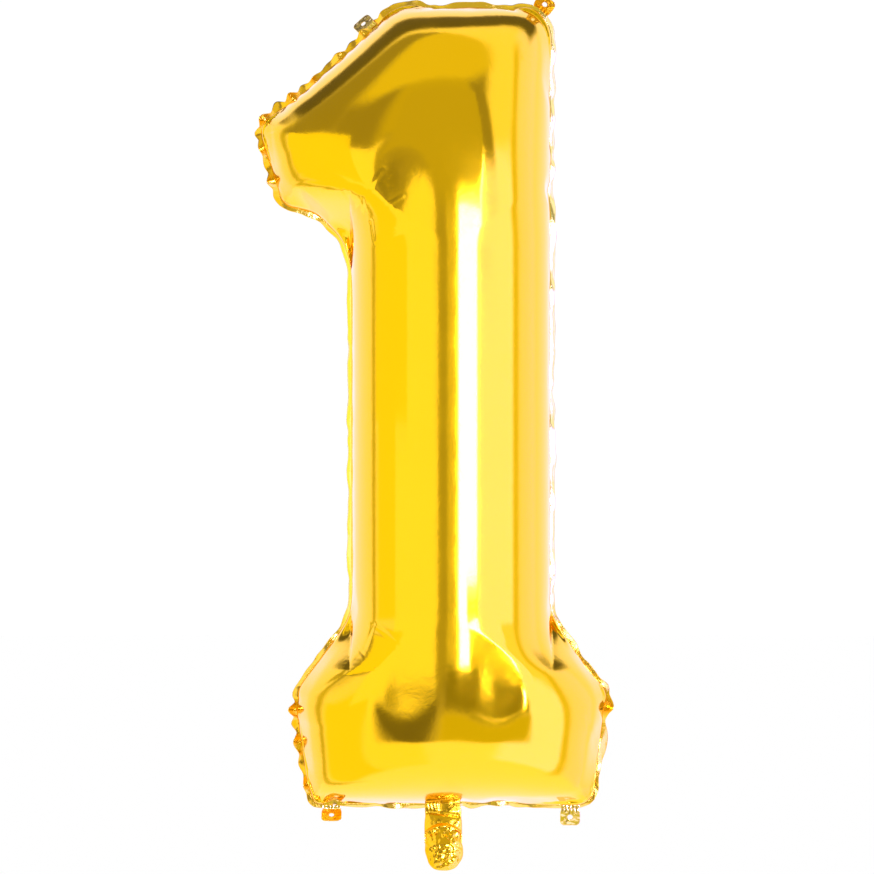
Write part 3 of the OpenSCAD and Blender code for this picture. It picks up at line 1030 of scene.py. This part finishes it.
print("studio")
studio = {
    "wall": 1.2,
    "wallBlue": 1.5,
    "sight": 1.02,
    "floorDrop": 0.5,
    "floorRadius": 14,
    "floorColour": (0.98, 0.98, 0.98, 1),
    # brightness, how far back and how high up the dark rail overhead lies
    "rail": (0.14, (0.12, 0.5, 0.05), (0.45, 0.62)),
    # brightness and blue share of each soft light or dark flag that the foil mirrors,
    # then its sideways and upward span in degrees with the softness of its edges
    "panels": [
        (1.35, 1.8, (-180, 180, 5), (-95, -36, 3)),  # pale floor in front
        (1.12, 0.2, (-93, -50, 4), (-70, 5, 3)),  # left softbox, far part
        (1.28, 0.8, (-50, -15, 2.5), (-70, 5, 3)),  # left softbox, near part
        (0.62, 0.3, (-103, -97, 2.5), (-70, 30, 8)),  # its back edge
        (1.48, 5.5, (26, 75, 3), (-60, 9, 3)),  # right softbox
        (0.85, 0.3, (76, 84, 2.5), (-60, 40, 8)),  # its edge
        (1.2, 3.5, (85, 112, 6), (-50, 50, 8)),  # pale wall behind it
        (0.36, 0.8, (-62, 46, 5), (5, 95, 2.5)),  # dark wall in front, above the lights
        (0.36, 0.8, (-100, -58, 5), (17, 95, 5)),  # the same on the left
        (0.6, 0.3, (-20, 26, 5), (7, 42, 5)),  # its paler middle
        (0.82, 0.3, (-60, 50, 8), (38, 95, 5)),  # ceiling light
        (0.8, 0.6, (-15, 9, 2), (-8, 5, 3)),  # gap between the lights
        (0.48, 0.6, (-14, -4, 2), (-9, 6, 3)),  # darker left part of the gap
        (0.2, 1, (-33, -8, 8), (-36, -8, 3)),  # dark low flag on the left
        (0.3, 0.8, (-8, 36, 5), (-15, -5, 3)),  # dark low flag on the right
        (0.7, 0.1, (-8, 40, 5), (-36, -14, 3)),  # gold shine below it
        (20, 3.4, (8, 29, 1.5), (-9, 6, 2.5)),  # bright strip
    ],
}


def buildStudio():
    world = bpy.data.worlds.new("studio")
    bpy.context.scene.world = world
    world.use_nodes = True
    tree = world.node_tree
    tree.nodes.clear()
    link = tree.links.new

    def maths(operation, a, b=None):
        made = node(tree, "ShaderNodeMath", operation=operation)
        for socket, value in zip(made.inputs, (a, b)):
            if value is None:
                continue
            if isinstance(value, (int, float)):
                socket.default_value = value
            else:
                link(value, socket)
        return made.outputs[0]

    def rise(value, low, high):
        made = node(tree, "ShaderNodeMapRange", interpolation_type="SMOOTHSTEP", From_Min=low, From_Max=high)
        link(value, made.inputs["Value"])
        return made.outputs["Result"]

    def band(value, low, high, soft):
        return maths("MULTIPLY", rise(value, low - soft, low + soft),
                     maths("SUBTRACT", 1.0, rise(value, high - soft, high + soft)))

    where = node(tree, "ShaderNodeTexCoord")
    split = node(tree, "ShaderNodeSeparateXYZ")
    link(where.outputs["Generated"], split.inputs[0])
    x, y, z = split.outputs
    across = maths("MULTIPLY", maths("ARCTAN2", x, maths("MULTIPLY", y, -1.0)), 180 / math.pi)
    up = maths("MULTIPLY", maths("ARCSINE", z), 180 / math.pi)
    level, blue = None, None

    def laid(under, value, mask, start):  # one panel laid over those before it
        made = node(tree, "ShaderNodeMix", data_type="FLOAT")
        link(mask, made.inputs[0])
        if under is None:
            made.inputs[2].default_value = start
        else:
            link(under, made.inputs[2])
        made.inputs[3].default_value = value
        return made.outputs[0]

    for bright, cool, side, height in studio["panels"]:
        mask = maths("MULTIPLY", band(across, *side), band(up, *height))
        level = laid(level, bright, mask, studio["wall"])
        blue = laid(blue, cool, mask, studio["wallBlue"])
    dark, behind, above = studio["rail"]
    mask = maths("MULTIPLY", band(y, *behind), rise(z, *above))
    level, blue = laid(level, dark, mask, 0), laid(blue, 1, mask, 0)
    tint = node(tree, "ShaderNodeCombineColor")
    tint.inputs[0].default_value = tint.inputs[1].default_value = 1
    link(blue, tint.inputs[2])
    sight = node(tree, "ShaderNodeLightPath")
    mirrored = node(tree, "ShaderNodeBackground")
    link(level, mirrored.inputs["Strength"])
    link(tint.outputs[0], mirrored.inputs["Color"])
    plain = node(tree, "ShaderNodeBackground", Color=(1, 1, 1, 1), Strength=studio["sight"])
    choice = node(tree, "ShaderNodeMixShader")
    link(sight.outputs["Is Glossy Ray"], choice.inputs[0])
    link(plain.outputs[0], choice.inputs[1])
    link(mirrored.outputs[0], choice.inputs[2])
    output = node(tree, "ShaderNodeOutputWorld")
    link(choice.outputs[0], output.inputs["Surface"])


buildStudio()
bpy.context.scene.view_settings.view_transform = "Standard"


def buildFloor():
    deselectAll()
    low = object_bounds()[0]
    height = low[2] - studio["floorDrop"]
    bpy.ops.mesh.primitive_circle_add(vertices=96, radius=studio["floorRadius"], fill_type="NGON",
                                      location=(0, 0, height))
    floor = bpy.context.object
    floor.name = "floor"
    material, tree, shader = newMaterial("paleFloor")
    shader.inputs["Base Color"].default_value = studio["floorColour"]
    shader.inputs["Roughness"].default_value = 0.6
    shader.inputs["Specular IOR Level"].default_value = 0
    paint(floor, material)
    floor.visible_glossy = False


buildFloor()

cards = {  # cards in front, seen only in the foil: corners in millimetres, brightness, blue share
    "lowCard": ((-60, -1000, -70), (480, -1000, 98), 0.3, 0.5),
    "highCard": ((-240, -1000, 684), (520, -1000, 1300), 0.58, 0.35),
    "sideCard": ((300, -990, 90), (600, -990, 205), 0.85, 0.3),
    "leftCard": ((-1700, -800, 60), (-262, -800, 790), 1.28, 0.8),
    "farCard": ((-800, 5, 420), (-800, -700, 960), 1.12, 0.2),
    "rightCard": ((440, -800, 100), (1100, -800, 640), 1.48, 5.5),
}


def buildCard(name, low, high, bright, blue):
    corners = placed([low, (high[0], high[1], low[2]), high, (low[0], low[1], high[2])])
    card = newMesh(name, corners, [(3, 2, 1, 0)])
    material, tree, shader = newMaterial(name)
    shader.inputs["Base Color"].default_value = (0, 0, 0, 1)
    shader.inputs["Specular IOR Level"].default_value = 0
    shader.inputs["Emission Color"].default_value = (1, 1, blue, 1)
    shader.inputs["Emission Strength"].default_value = bright
    paint(card, material)
    card.visible_camera = card.visible_diffuse = card.visible_shadow = False


for name, values in cards.items():
    buildCard(name, *values)

camera = {"lens": 150, "height": 0.9562, "aim": (-15.3, 0, 400.4)}


def buildCamera():
    data = bpy.data.cameras.new("camera")
    obj = bpy.data.objects.new("camera", data)
    bpy.context.scene.collection.objects.link(obj)
    data.lens = camera["lens"]
    distance = camera["height"] / data.sensor_width * data.lens
    aim = placed([camera["aim"]])[0]
    obj.location = (aim[0], aim[1] - distance, aim[2])
    obj.rotation_euler = (math.pi / 2, 0, 0)
    bpy.context.scene.camera = obj


buildCamera()
